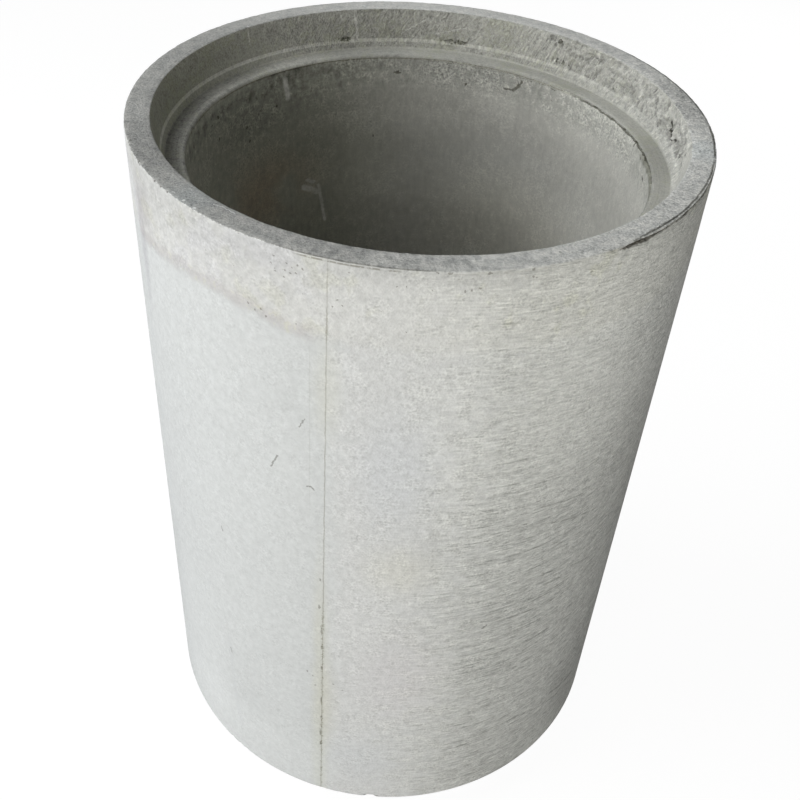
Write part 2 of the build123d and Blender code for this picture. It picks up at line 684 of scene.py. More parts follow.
class Concrete(Recipe):
    """The finish of one region. It lies outside or inside a wall of some radius, or flat on the rim."""

    def __init__(self, name, wall_radius, lies="outside"):
        super().__init__(bpy.data.materials.new(name))
        self.lies = lies
        self.wall_radius = wall_radius / mm
        place = self.node("ShaderNodeTexCoord", output="Object")
        self.place = self.vector("MULTIPLY", place, (1 / mm, 1 / mm, 1 / mm))
        self.x = self.node("ShaderNodeSeparateXYZ", None, {0: self.place}, "X")
        self.y = self.x.other("Y")
        self.z = self.x.other("Z")
        self.radius = self.math("SQRT", self.x * self.x + self.y * self.y)
        self.depth = rim_mm - self.z
        if lies == "inside":
            # 0 to 360 degrees: the angle jumps on the hidden near side, and is whole at the back
            self.angle = self.math("ARCTAN2", self.x * -1, self.y) * math.degrees(1) + 180.0
        else:
            self.angle = self.math("ARCTAN2", self.x, self.y * -1) * math.degrees(1)
        if lies == "flat":
            flat = self.node("ShaderNodeCombineXYZ", None, {0: self.x, 1: self.y})
        else:
            around = self.angle * (math.radians(1) * self.wall_radius)
            flat = self.node("ShaderNodeCombineXYZ", None, {0: around, 1: self.depth})
        shaken = self.noise(self.place, 4, 1, 0.6).other("Color")
        shake = self.vector("MULTIPLY", self.vector("SUBTRACT", shaken, (0.5, 0.5, 0.5)), (4, 4, 0))
        self.even = flat
        self.flat = self.vector("ADD", flat, shake)
        self.lost = self.node("ShaderNodeAttribute", {"attribute_name": "lost"}, output="Fac")
        self.colour = None
        self.height = None

    def lumps(self, size, detail, roughness, place=None, distortion=0.0):
        """A cloud pattern round 0: nearly -0.5 in its lowest parts and 0.5 in its highest."""
        return self.noise(place or self.place, size, detail, roughness, distortion) - 0.5

    def lines(self, value, size):
        """Fine lines that run where a value, such as the radius, stays the same."""
        return self.lumps(size, 2, 0.6, self.node("ShaderNodeCombineXYZ", None, {0: value}))

    def stretched(self, factor):
        """Places whose height counts more: a pattern on them lies in level streaks."""
        return self.vector("MULTIPLY", self.place, (1, 1, factor))

    def across(self, angle):
        """Millimetres along the wall from an angle."""
        return (self.angle - angle) * (math.radians(1) * self.wall_radius)

    def spot(self, angle, depth):
        """The place of a mark on the flat sheet."""
        turn = math.radians(angle)
        if self.lies == "flat":
            return Vector((depth * math.sin(turn), -depth * math.cos(turn), 0))
        return Vector((turn * self.wall_radius, depth, 0))

    def blot(self, angle, depth, half_width, half_height, edge=0.6):
        """A soft spot: 1 in the middle of an oval and 0 outside it."""
        off = self.vector("SUBTRACT", self.flat, self.spot(angle, depth))
        share = self.vector("MULTIPLY", off, (1 / half_width, 1 / half_height, 0))
        return self.soft(self.length(share), 1.0, edge)

    def stroke(self, start, end, half_width, ragged=True):
        """A line between two spots of (angle, depth): 1 on the line and 0 beside it."""
        begin = self.spot(*start)
        way = self.spot(*end) - begin
        off = self.vector("SUBTRACT", self.flat if ragged else self.even, begin)
        along = self.node("ShaderNodeClamp", None, {"Value": self.dot(off, way / way.length_squared)})
        nearest = self.scaled(way, along)
        gap = self.length(self.vector("SUBTRACT", off, nearest))
        return self.soft(gap, half_width, half_width * 0.4)

    def together(self, marks):
        """One mask for many marks."""
        mask = marks[0]
        for mark in marks[1:]:
            mask = self.math("MAXIMUM", mask, mark)
        return mask

    def marks(self, blots=(), strokes=()):
        """One mask for a list of blots and a list of strokes."""
        return self.together([self.blot(*row) for row in blots] + [self.stroke(*row) for row in strokes])

    def near(self, angle, outer, inner):
        """1 up to the inner number of degrees from an angle, and 0 beyond the outer one."""
        return self.soft(abs(self.angle - angle), outer, inner)

    def arc(self, low, high, soft):
        """1 between two angles, with a soft way of some degrees at both ends."""
        return self.soft(self.angle, low - soft, low) * self.soft(self.angle, high + soft, high)

    def level(self, depth, half_height, edge=0.5):
        """1 along a level line at a depth below the rim, and 0 away from it."""
        return self.soft(abs(self.depth - depth), half_height, half_height * edge)

    def pinholes(self, cell, hole, share):
        """Small round holes: a pattern of cells, of which only a share has a hole."""
        sockets = {"Vector": self.place, "Scale": 1 / cell}
        gap = self.node("ShaderNodeTexVoronoi", None, sockets, "Distance")
        chance = self.node("ShaderNodeSeparateColor", None, {0: gap.other("Color")})
        there = self.math("LESS_THAN", chance, share)
        return self.soft(gap * cell - chance.other("Green") * hole, 0.4, -0.1) * there

    def shade(self, mask, by):
        """Multiply the colour by another one where the mask is 1."""
        self.colour = self.blend(mask, self.colour, (*by, 1), "MULTIPLY")

    def paint(self, mask, colour):
        """Lay a colour over the surface where the mask is 1."""
        self.colour = self.blend(mask, self.colour, (*colour, 1))

    def vary(self, amount):
        """Make the colour lighter by a share of itself, or darker where the share is below zero."""
        level = amount + 1.0
        grey = self.node("ShaderNodeCombineColor", None, {0: level, 1: level, 2: level})
        self.colour = self.blend(1.0, self.colour, grey, "MULTIPLY")

    def finish(self, roughness=0.9):
        """The shader at the end: the colour, a roughness and a bump whose height is in millimetres."""
        bump = self.node(
            "ShaderNodeBump",
            None,
            {"Strength": 1.0, "Distance": 1 * mm, "Height": self.height},
        )
        shader = self.node(
            "ShaderNodeBsdfPrincipled",
            None,
            {
                "Base Color": self.colour,
                "Roughness": roughness,
                "Specular IOR Level": 0.25,
                "Normal": bump,
            },
        )
        self.node("ShaderNodeOutputMaterial", None, {"Surface": shader})
        return self.owner


# %% [markdown]
# The outside of the barrel was cast against steel, so it is smooth and pale. One half of the mould left
# a cool skin of fine cement, to the left of the mould line. The other half left a level grain of short
# streaks and a few long rubbed lines. The top 85 mm are warmer and have fine turning lines and pinholes,
# where the head of the mould sat. The second mould line, at the back, divides the same two skins. One
# pattern could scatter marks over all of it, but then no mark would be where the real one is. So
# patterns carry the skin, and each mark that the eye finds is noted in a list.

# %% Marks on the outside of the barrel
rubbed_lines = [
    # from angle and depth, to angle and depth, half width
    ((31.6, 414), (48.7, 448), 1.8), ((30.7, 379), (44.4, 394), 1.6), ((34.5, 522), (51, 561), 1.8),
    ((32.3, 570), (48.8, 574), 1.6), ((16.0, 885), (25.1, 883), 1.6), ((25.1, 883), (35.7, 879), 1.8),
    ((35.7, 879), (66, 951), 2.2), ((30.8, 696), (47.1, 716), 1.9), ((16.3, 688), (23.3, 680), 1.6),
    ((37.6, 400), (50, 405), 2.0), ((40.4, 436), (46.6, 432), 1.8), ((25, 459), (38, 456), 1.2),
    ((35.7, 550), (48, 566), 2.2), ((24.5, 577), (42.7, 577), 1.8), ((27.6, 595), (43.5, 602), 2.4),
    ((24, 632), (39.6, 633), 1.3), ((23.7, 671), (42.7, 672), 1.6), ((31, 696), (38, 692), 2.6),
    ((34.2, 725), (47.7, 726), 2.2), ((32.6, 738), (43, 737), 1.6), ((23.3, 882), (39.6, 884), 2.2),
    ((16.4, 900), (22.9, 898), 2.2), ((49, 888), (61, 914), 4.5), ((26.4, 332), (30.6, 331), 1.6),
    ((20.2, 281), (24.9, 280), 1.4), ((31.9, 234), (38, 230), 1.4), ((22, 320), (24.4, 320), 1.6),
]
faint_streaks = [
    ((-39.2, 740), (-38.6, 860), 6.0), ((-38.6, 860), (-37.0, 960), 7.0),
    ((-23.9, 247), (-25.2, 293), 1.6), ((-20.3, 259), (-17.9, 272), 1.3),
    ((-10.9, 262), (-10.0, 313), 1.6), ((-10.0, 313), (-8.9, 348), 1.8),
    ((-8.9, 348), (-9.7, 370), 1.6),
]
scratches_and_notch_shade = [
    # the last one is painted shade in the notch of the lower edge
    ((-22.9, 300), (-24.4, 322), 1.4), ((-17.6, 230), (-18.2, 241), 1.3),
    ((-17.1, 226), (-17.5, 233), 1.0), ((-16.8, 335), (-16.0, 334), 1.4),
    ((-16.0, 334), (-15.3, 338), 1.6), ((-38.8, 491), (-38.4, 500), 1.0),
    ((-38.9, 766), (-38.5, 776), 1.0), ((21.6, 601), (22.5, 596), 2.2), ((27.0, 402), (27.8, 402), 1.3),
    ((-1.6, 1026), (1.2, 1028), 5.0),
]
seam_spots = [
    # angle, depth, half width, half height
    (-13.9, 504, 1.8, 4), (-14.1, 561, 2.0, 6), (-13.5, 611, 1.5, 14), (-13.4, 650, 1.8, 5),
    (-13.4, 699, 1.8, 6), (-13.4, 777, 1.6, 7), (-13.3, 824, 1.8, 5), (-13.5, 866, 1.8, 12),
    (-13.4, 897, 1.8, 6), (-16.8, 717, 1.6, 2.2), (-10.6, 731, 2.0, 1.4), (-8.4, 741, 2.0, 1.4),
    (-14.8, 745, 1.4, 2.0), (-15.4, 724, 1.3, 1.6),
]
top_pits = [
    (6.3, 2.5, 3.0, 1.8), (4.4, 2.5, 1.6, 1.4), (12.6, 3.5, 3.6, 1.6), (19.9, 3, 1.8, 2.0),
    (20.1, 12, 2.0, 1.8), (31.1, 21, 2.4, 1.5), (20.6, 14, 1.5, 1.2), (-0.4, 21, 1.2, 1.2),
    (10.0, 23, 1.4, 2.0), (9.0, 24, 1.0, 1.6), (3.8, 23, 1.2, 1.4), (4.1, 1.5, 1.5, 1.8),
    (-23.1, 23, 1.2, 1.2), (-21.6, 16, 1.1, 1.1), (-20.3, 18, 1.3, 1.3), (-19.3, 22, 1.0, 1.2),
    (-18.6, 27, 1.2, 1.2), (-20.5, 27, 1.3, 1.5), (-22.4, 28, 1.0, 1.0), (0.0, 78, 1.2, 1.6),
    (-25.3, 88, 2.4, 2.0), (-26.6, 92, 1.6, 1.8), (-24.4, 95, 2.0, 1.5), (-28.0, 86, 1.6, 1.4),
    (-22.6, 13, 1.7, 1.5), (-19.6, 29, 2.0, 1.4), (-18.3, 17, 1.6, 1.6), (-22.4, 32, 1.3, 1.2),
    (-17.4, 20, 1.5, 1.3), (-20.7, 36, 1.5, 1.3), (11.3, 21, 2.2, 1.4), (-1.9, 22, 1.5, 1.4),
    (-11.4, 49, 1.7, 1.3), (-12.3, 59, 1.3, 1.3), (-10.6, 55, 1.5, 1.2),
]


def between(marks, low, high):
    """The marks that lie between two angles. A mark is a blot, or a stroke with two ends."""
    return [mark for mark in marks if low < np.ravel(mark[0])[0] < high]


all_marks = rubbed_lines + faint_streaks + scratches_and_notch_shade + seam_spots + top_pits
print("marks on the barrel", len(all_marks))
print("left of the mould line", len(between(all_marks, -90, mould_line)))

# %% Outside of the barrel


def barrel_concrete(name, low, high):
    """The outside, with only those single marks that lie between two angles."""
    mix = Concrete(name, barrel_radius)
    cloud = mix.lumps(120, 2, 0.5)
    wobble = mix.lumps(26, 2, 0.5)
    mottle = mix.lumps(9, 2, 0.7)
    speckle = mix.lumps(3.0, 1, 0.6)
    grain = mix.lumps(17, 2, 0.68, mix.stretched(6.0))
    streak = mix.lumps(130, 2, 0.6, mix.stretched(70))
    patchy = mix.soft(wobble, -0.12, 0.14) * 0.9 + 0.25

    second_line = mix.soft(mix.angle, mould_line + 180.2, mould_line + 180)
    right = mix.soft(mix.angle + wobble * 30, -6.0, 26.0) * second_line
    left = 1 - mix.soft(mix.angle + wobble * 8, mould_line - 1.0, mould_line + 6.0) * second_line
    band_edge = 88 + mix.soft(abs(mix.angle + 38), 4.0, 24.0) * 16
    band = mix.soft(mix.depth + wobble * 26 - band_edge, 8.0, -10.0)
    coarse = 1 - left * (1 - band)

    mix.colour = mix.blend(right, (0.60, 0.60, 0.59, 1), (0.60, 0.60, 0.57, 1))
    mix.shade(left * (1 - band), (0.95, 0.965, 0.97))
    mix.shade(band, (1.0, 0.995, 0.98))
    whitish = mix.soft(cloud + wobble * 0.5, -0.02, 0.12) * band * left
    mix.shade(whitish, (0.99, 0.99, 1.015))
    yellowish = mix.soft(wobble - cloud, 0.06, 0.20) * band
    mix.shade(yellowish, (0.985, 0.985, 0.94))

    tints = [
        # angle, depth, half width, half height, tint
        (0, 290, 80, 150, (0.975, 0.985, 1.01)),
        (2, 465, 70, 70, (1.01, 1.0, 0.96)),
        (4, 700, 90, 160, (1.0, 0.982, 0.995)),
        (-4, 920, 90, 100, (0.985, 0.995, 1.01)),
        (-13, 175, 26, 110, (1.01, 1.0, 0.955)),
        (-14, 560, 14, 200, (1.0, 0.99, 0.96)),
        (-12.5, 790, 30, 170, (1.0, 0.985, 0.945)),
        (-60, 60, 46, 60, (0.86, 0.845, 0.86)),
        (-61.5, 130, 18, 110, (0.85, 0.84, 0.86)),
    ]
    for angle, depth, half_width, half_height, tint in between(tints, low - 16, high + 16):
        mix.shade(mix.blot(angle, depth, half_width, half_height, 0.1), tint)

    border = mix.soft(abs(mix.depth - band_edge + wobble * 20 + 3), 14.0, 2.0) * mix.arc(-60, -18, 5)
    mix.shade(border, (0.90, 0.88, 0.885))
    mix.shade(border * mix.soft(mottle, 0.04, 0.14), (0.97, 0.98, 0.90))

    turning = mix.math("SINE", mix.depth * (math.tau / 4.6) + mottle * 5) * mix.arc(6, 44, 8)
    turning = turning * mix.soft(mix.depth, 12.0, 24.0) * mix.soft(mix.depth, 72.0, 56.0)
    long_lines = mix.soft(streak, 0.06, 0.13) * right * mix.soft(mix.depth + wobble * 400, 150.0, 420.0)
    mix.vary(
        # the patterns of the skin
        cloud * 0.10
        + mottle * (coarse * 0.16 + band * left * 0.04 + 0.32)
        + speckle * patchy * (coarse * 0.26 + right * 0.14 - band * left * 0.14 + 0.34)
        + grain * (right * 1.05 + (1 - left) * mix.soft(mix.depth, 240.0, 420.0) * 0.18 + 0.05)
        + streak * right * 0.40
        - long_lines * 0.24
        + turning * 0.035
        # the right half: lighter towards the top, darker below
        + right * 0.05
        + mix.soft(mix.angle, -12.0, 14.0) * second_line * 0.05
        + mix.soft(mix.angle, -8.0, 12.0) * mix.soft(mix.depth, 420.0, 280.0) * second_line * 0.05
        - mix.soft(mix.angle, 8.0, 30.0) * mix.soft(mix.depth, 420.0, 560.0) * second_line * 0.05
        + mix.soft(mix.angle, 34.0, 50.0) * mix.soft(mix.depth, 930.0, 1000.0) * second_line * 0.06
        + mix.blot(38, 70, 150, 130, 0.0) * 0.16
        + mix.blot(40, 200, 150, 170, 0.0) * 0.12
        - mix.blot(56, 900, 110, 260, 0.1) * 0.10
        # the left half: darker at the top, and lighter below with painted light thrown up from the floor
        - mix.soft(mix.depth, 60.0, 20.0) * left * 0.08
        - mix.soft(mix.depth, 120.0, 60.0) * mix.arc(-62, -24, 8) * 0.07
        + mix.soft(mix.depth, 850.0, 960.0) * left * 0.07
        + mix.blot(-54, 850, 140, 260, 0.2) * 0.07
        # darker just under the rim
        - mix.soft(mix.depth, 26.0, 8.0) * mix.arc(-16, 10, 30) * (1 - left) * 0.13
        - mix.soft(mix.depth, 16.0, 4.0) * mix.arc(42, 66, 6) * 0.14
    )

    # the mould line, with cement stains beside it on the lower half
    wander = mix.lumps(22, 2, 0.6, mix.vector("MULTIPLY", mix.place, (0, 0, 1)))
    off_line = mix.across(mould_line) + wander * 3
    lower_half = mix.soft(mix.depth, 480.0, 640.0)
    seam = mix.soft(abs(off_line), 1.2, 0.3) * mix.soft(wander + mix.depth * 0.0006, -0.35, 0.30)
    seam = seam + mix.blot(mould_line, 86, 1.3, 24, 0.8) * 0.6
    mix.shade(seam, (0.68, 0.67, 0.63))
    halo = mix.soft(abs(off_line + wobble * 16 + 2), 20.0, 4.0) * lower_half
    mix.shade(halo, (0.995, 0.99, 0.95))
    smudge = mix.soft(abs(off_line), 4.5, 0.5) * mix.soft(speckle + mottle, 0.02, 0.14)
    mix.shade(smudge * lower_half, (0.58, 0.57, 0.52))
    border_line = mix.soft(abs(mix.across(-16.2)), 1.2, 0.3) * mix.soft(mix.depth, 112.0, 125.0)
    mix.shade(border_line * mix.soft(mix.depth, 420.0, 300.0), (0.93, 0.93, 0.92))

    # the single marks, where this part of the wall has them
    seen_lines = between(rubbed_lines, low, high)
    if seen_lines:
        rubbed = mix.together([mix.stroke(*line, ragged=False) for line in seen_lines])
        mix.shade(rubbed * mix.soft(grain, 0.18, -0.14), (0.66, 0.66, 0.65))
    seen_streaks = between(faint_streaks, low, high)
    if seen_streaks:
        streaks = mix.marks(strokes=seen_streaks)
        mix.shade(streaks * mix.soft(mottle, -0.12, 0.10), (0.955, 0.955, 0.965))
    seen_spots = between(top_pits + seam_spots, low, high)
    if seen_spots:
        mix.shade(mix.marks(seen_spots) * 0.8, (0.46, 0.45, 0.42))
    # scratches, and the painted shade in the notch of the lower edge
    seen_cuts_and_shade = between(scratches_and_notch_shade, low, high)
    if seen_cuts_and_shade:
        mix.shade(mix.marks(strokes=seen_cuts_and_shade) * 0.85, (0.46, 0.45, 0.43))
    mix.shade(mix.pinholes(7, 0.9, 0.16) * (band * 0.8 + 0.15), (0.62, 0.61, 0.58))

    # shadows in the edge under the rim, the crack on the right, and whatever is broken out
    shadow = mix.level(3.4, 1.7, 0.3) * mix.arc(-17, -3, 3)
    shadow = shadow + mix.level(4.0, 1.2, 0.3) * mix.arc(8, 24, 4) * 0.3
    mix.shade(shadow * mix.soft(mottle, -0.12, 0.0), (0.55, 0.54, 0.50))
    crack = mix.soft(abs(mix.depth - 3.2 + wobble * 5), 1.5, 0.4) * mix.arc(36, 104, 3)
    crack = crack + mix.level(0.8, 2.0) * mix.arc(82, 128, 6)
    mix.shade(crack * mix.soft(mottle, -0.16, -0.02), (0.42, 0.41, 0.38))
    mix.shade(mix.soft(mix.lost, 0.7, 2.2), (0.30, 0.29, 0.27))

    mix.height = speckle * (coarse * 0.35 + 0.3) + mottle * 0.5 + grain * (right * 2.8 + 0.15)
    mix.height = mix.height - long_lines * 0.4
    return mix.finish(0.85)


# %% [markdown]
# The rim was drawn off with a float while the pipe stood in its mould. Its skin is greyer than the barrel's,
# it is darker on the left and lighter at the back, where painted light stands in for light from behind, and
# fine round scratches follow the mouth. Along its outer edge runs a dark line, which on the right and at the
# back is painted shade on the broken arris, and the arris carries a painted highlight on the left and on the
# right. A ring of dots could be drawn for that line, but a band of the radius, shaken by the mottle, breaks
# up as the real one does.

# %% Rim


def rim_concrete():
    mix = Concrete("rim_concrete", barrel_radius, "flat")
    speckle = mix.lumps(3.0, 2, 0.65)
    mottle = mix.lumps(11, 2, 0.6)
    cloud = mix.lumps(60, 2, 0.5)
    mix.colour = mix.blend(mix.soft(mottle, -0.2, 0.2), (0.642, 0.645, 0.617, 1), (0.667, 0.66, 0.623, 1))

    darkening = mix.soft(mix.angle, -172.0, -105.0) * mix.soft(mix.angle, 28.0, -12.0) * 0.33
    darkening = darkening + mix.near(-62, 22.0, 4.0) * 0.16
    darkening = darkening + mix.near(104, 13.0, 4.0) * 0.17
    darkening = darkening - mix.near(75, 18.0, 4.0) * 0.10
    round_lines = mix.lines(mix.radius, 1.6)
    near_mouth = mix.soft(mix.radius, 352.0, 342.0)
    mix.vary(
        # the patterns of the skin
        speckle * (mix.arc(45, 100, 35) * 1.1 + 0.75)
        + mottle * (mix.arc(0, 120, 45) * 0.60 + 0.45)
        + cloud * 0.20
        + round_lines * (near_mouth * 0.20 + 0.06)
        # darker and lighter stretches round the rim, and the lighter back, which is painted light from behind
        - darkening
        - mix.arc(-36, -12, 10) * 0.04
        - mix.arc(-165, -88, 8) * 0.05
        + mix.soft(abs(mix.angle), 155.0, 172.0) * 0.05
        # along the mouth: a fine groove and a light edge on the left, and painted shade on the rounded edge
        # at the back
        - mix.soft(abs(mix.radius - 343.5), 1.6, 0.4) * mix.arc(-130, -40, 15) * 0.06
        + mix.soft(mix.radius, 340.4, 338.6) * mix.arc(-110, -15, 15) * 0.10
        - mix.soft(mix.radius, 342.0, 339.0) * mix.soft(abs(mix.angle), 105.0, 135.0) * 0.12
    )
    bluish = mix.marks([(-43, 356, 46, 40, 0.2), (80, 357, 44, 44, 0.2)])
    mix.shade(bluish, (0.96, 0.99, 1.01))

    # the dark line along the outer edge: in front, and on the right and at the back painted shade on the
    # broken arris and in the crack at its end
    edge_line = mix.soft(abs(mix.radius - 368.6), 1.9, 0.4) * mix.arc(-20, 2, 4)
    mix.shade(edge_line, (0.62, 0.62, 0.60))
    far_line = mix.soft(abs(mix.radius + mottle * 2.5 - 366.5), 1.7, 0.5) * mix.arc(46, 84, 8)
    far_line = far_line + mix.soft(mix.radius + mottle * 3, 365.4, 366.4) * mix.arc(88, 126, 6)
    mix.shade(far_line * mix.soft(cloud, -0.22, -0.06), (0.30, 0.30, 0.28))
    inner_crack = mix.stroke((40.0, 367.6), (52.5, 366.8), 1.3)
    mix.shade(inner_crack * 0.9, (0.42, 0.42, 0.40))

    # a painted highlight on the arris, pale flecks, dark spots and pinholes, and painted shade where the skin
    # is broken out
    highlight_arcs = mix.together([mix.arc(-66, -22, 4), mix.arc(52, 74, 6)])
    arris = mix.soft(mix.radius + mottle * 3, 368.0, 369.3) * highlight_arcs
    mix.paint(arris * mix.soft(speckle, -0.10, 0.10) * 0.8, (0.84, 0.85, 0.83))
    flecks = mix.marks(
        blots=[
            (-46.4, 364, 2.2, 1.6), (-43.0, 365, 2.6, 1.8), (-40.0, 367, 3.0, 1.6),
            (-131.0, 341, 2.2, 2.2), (-163.5, 350, 5.0, 2.0),
        ],
        strokes=[((-37.0, 343), (-33.5, 344), 0.8), ((-38.6, 347), (-36.6, 343), 0.8)],
    )
    mix.paint(flecks * 0.75, (0.82, 0.83, 0.81))
    spots = mix.marks([
        (-67.3, 366, 2.6, 2.2), (-59.4, 368, 2.4, 2.2), (-41.0, 365, 1.6, 1.6), (-130.2, 339.5, 2.4, 2.0),
        (-134.0, 369, 1.6, 1.6), (26.1, 351.5, 2.0, 2.4), (33.4, 366, 4.0, 1.2),
    ])
    mix.shade(mix.together([spots, mix.pinholes(14, 0.9, 0.18)]) * 0.7, (0.45, 0.45, 0.43))
    mix.shade(mix.soft(mix.lost, 1.0, 2.4) * 0.6, (0.55, 0.55, 0.52))
    mix.height = speckle * 1.2 + mottle * 0.8 + round_lines * 0.2
    return mix.finish(0.9)


# %% [markdown]
# The socket's wall is greyer and dirtier than the outside, because dust stays there. Its left side is smooth
# and dark. Its back is scored by slanting scratches from the ring that formed it, and its right side is pale
# and crumbly, with torn flakes. The step for the seal shows as a light line on the left and at the back, and
# on the ledge a strip of mortar was smeared along the bore. The torn wall gets painted highlights on its
# flakes and painted shade in its hollows, so the colour follows how much is lost, and the hollows at the foot
# of the wall, the crack and the left part of the ledge get painted shade as well. Wall, step and ledge could
# have a finish each, but one for all three lets dirt and scratches run on across their edges.

# %% Socket wall, seal step and ledge


def socket_concrete():
    mix = Concrete("socket_concrete", socket_middle, "inside")
    speckle = mix.lumps(2.6, 2, 0.7)
    mottle = mix.lumps(8, 2, 0.65)
    cloud = mix.lumps(45, 2, 0.5)
    curl = mix.lumps(6, 2, 0.55, distortion=1.2)
    steep = mix.soft(mix.angle, 165.0, 130.0) * 1.1 + 0.9
    tilted = mix.vector("ADD", mix.place, mix.scaled((0.0, 0.0, 1.0), mix.across(180) * steep))
    slanting = mix.lumps(4.5, 2, 0.65, mix.vector("MULTIPLY", tilted, (0.6, 0.6, 0.55)), 0.9)

    on_ledge = mix.soft(mix.z, ledge_height / mm + 3.0, ledge_height / mm + 1.0)
    on_step = mix.soft(mix.z, ledge_height / mm + 11.0, ledge_height / mm + 10.0) * (1 - on_ledge)
    wall_share = 1 - on_ledge
    torn = mix.arc(84, 146, 10) * wall_share
    back = mix.arc(150, 215, 12) * wall_share
    left_side = mix.arc(225, 320, 25)
    round_lines = mix.lines(mix.radius, 2.2)
    radial = mix.lines(mix.across(180), 9.0)
    mix.colour = mix.blend(on_ledge, (0.405, 0.402, 0.365, 1), (0.395, 0.392, 0.357, 1))
    # the hidden near side, at 0 degrees, lies between the pale side and the dark one
    far_round = mix.soft(mix.angle, 20.0, 62.0)
    pale_side = mix.soft(mix.angle, 165.0, 85.0) * wall_share * far_round
    mix.shade(pale_side, (1.42, 1.42, 1.45))
    dirt = mix.soft(cloud + mottle, 0.02, 0.16) * (1 - pale_side * 0.8)
    mix.shade(dirt, (0.87, 0.878, 0.825))

    seal_line = mix.level(socket_wall_depth / mm, 3.0) * (mottle * 0.8 + 0.85)
    strip_edge = 305.5 + cloud * 16 + mottle * 8
    strip = mix.soft(mix.radius - strip_edge, 1.6, -1.6) * on_ledge * mix.arc(212, 285, 12)
    corner_shade = mix.arc(240, 320, 16) * on_ledge * mix.soft(mix.radius, 306.0, 311.0)
    crumbs = mix.soft(abs(curl), 0.04, 0.0)
    grains = mix.pinholes(8, 1.8, 0.22) * (torn + back)
    mix.vary(
        # the patterns of the wall, smooth on the left, scored at the back and torn on the right
        speckle * (left_side * 0.45 + torn * 0.15 + back * 0.3 + 0.75)
        + mottle * (torn * 0.4 + back * 0.4 + left_side * 0.35 + 0.5)
        + cloud * 0.26
        + crumbs * (torn * 0.12 + back * 0.12)
        + slanting * (back * 0.80 + torn * 1.0)
        + mix.soft(slanting, 0.10, 0.20) * (torn * 0.24 + back * 0.10)
        + grains * (back * 0.14 + 0.22)
        # painted highlights on the flakes and painted shade in the hollows
        + mix.soft(mix.lost, 1.6, 0.5) * torn * 0.22
        - mix.soft(mix.lost, 1.6, 3.4) * torn * mix.soft(mix.depth, 5.0, 10.0) * 0.26
        # light and dark stretches of the wall
        + left_side * (wall_share * mix.soft(mix.depth, 28.0, 38.0) * 0.10 + 0.12)
        - mix.soft(mix.angle, 165.0, 195.0) * mix.soft(mix.angle, 350.0, 300.0) * wall_share * 0.14
        - mix.arc(250, 300, 35) * 0.12
        + mix.blot(141, 31, 26, 13, 0.2) * 0.20
        + mix.blot(203, 10, 46, 10, 0.2) * 0.14
        # the step for the seal, and its foot
        + seal_line * mix.arc(160, 310, 45) * (left_side * 0.40 + 0.42)
        + on_step * (left_side * 0.12 - mix.arc(90, 150, 20) * 0.12)
        + mix.level(rim_mm - ledge_height / mm - 0.8, 1.8) * (left_side * 0.16 + 0.12)
        # the ledge, lighter on the right and at the back, with the smeared strip, and painted shade on its
        # left part and in the corner behind the strip
        + on_ledge * (round_lines * 0.55 + radial * left_side * 0.6 + mottle * 0.3)
        + on_ledge * (mix.arc(62, 218, 18) * 0.17 - mix.arc(262, 320, 16) * 0.20)
        + on_ledge * (mix.arc(104, 128, 8) * 0.06 - mix.arc(136, 172, 10) * 0.06)
        + on_ledge * (mix.near(246, 8.0, 3.0) * 0.08 - mix.near(198, 16.0, 6.0) * 0.14)
        - on_ledge * mix.near(93, 14.0, 5.0) * 0.16
        + strip * 0.16
        - corner_shade * 0.20
    )
    pale = mix.marks(
        blots=[(96, 30, 9, 8, 0.3), (101.5, 14, 10, 7, 0.3), (90.2, 33, 3, 3, 0.3)],
        strokes=[
            ((199.2, 4), (198.6, 42), 2.6), ((229.5, 6), (229.5, 24), 1.4), ((150.5, 6), (146.5, 2), 1.6),
            ((145.5, 9), (141.5, 3), 1.6), ((126, 10), (119, 24), 1.2), ((187, 36), (180, 12), 1.0),
            ((178, 34), (170, 20), 1.0),
        ],
    )
    mix.paint(pale * (curl * 1.6 + 0.42), (0.70, 0.695, 0.655))
    olive = mix.arc(262, 300, 50) * wall_share
    mix.shade(olive, (0.95, 0.96, 0.89))
    pores = mix.pinholes(7, 1.0, 0.30) * (torn * 0.7 + 0.3)
    mix.shade(pores, (0.50, 0.49, 0.45))
    # painted shade in the hollows at the foot of the wall and in the pits high on the right
    hollows = mix.marks([
        (201.9, 42, 12, 4.0), (172.4, 42.5, 24, 4.2), (144.6, 9, 5.0, 3.6),
        (144.3, 36, 1.6, 2.8), (142.3, 35, 1.8, 2.8),
    ])
    mix.shade(hollows * (curl * 4 + 0.85), (0.24, 0.24, 0.21))
    # painted shade in the crack and the pits beside it
    crack = mix.marks(
        blots=[(95.2, 33, 3.0, 3.0), (90.5, 40, 3.4, 3.8), (84.0, 20, 3.0, 3.8), (88.4, 37, 2.6, 3.2)],
        strokes=[((100.4, 23), (98.4, 31), 3.6), ((98.4, 31), (96.0, 39), 2.8)],
    )
    mix.shade(crack * 0.95, (0.20, 0.20, 0.18))
    # painted shade along the crack on the rounding of the lip
    lip_line = mix.soft(mix.depth, 57.4, 58.6) * mix.arc(58, 106, 8)
    mix.shade(lip_line * mix.soft(mottle, 0.16, 0.0), (0.36, 0.36, 0.33))
    mix.shade(seal_line * left_side, (0.97, 0.97, 1.03))

    mix.height = (
        speckle * (torn * 0.4 + 1.0)
        + mottle * (torn * 1.8 + back * 1.2 + 1.2)
        + slanting * (back * 2.4 + torn * 3.0)
        + strip * 0.6
    )
    return mix.finish(0.92)
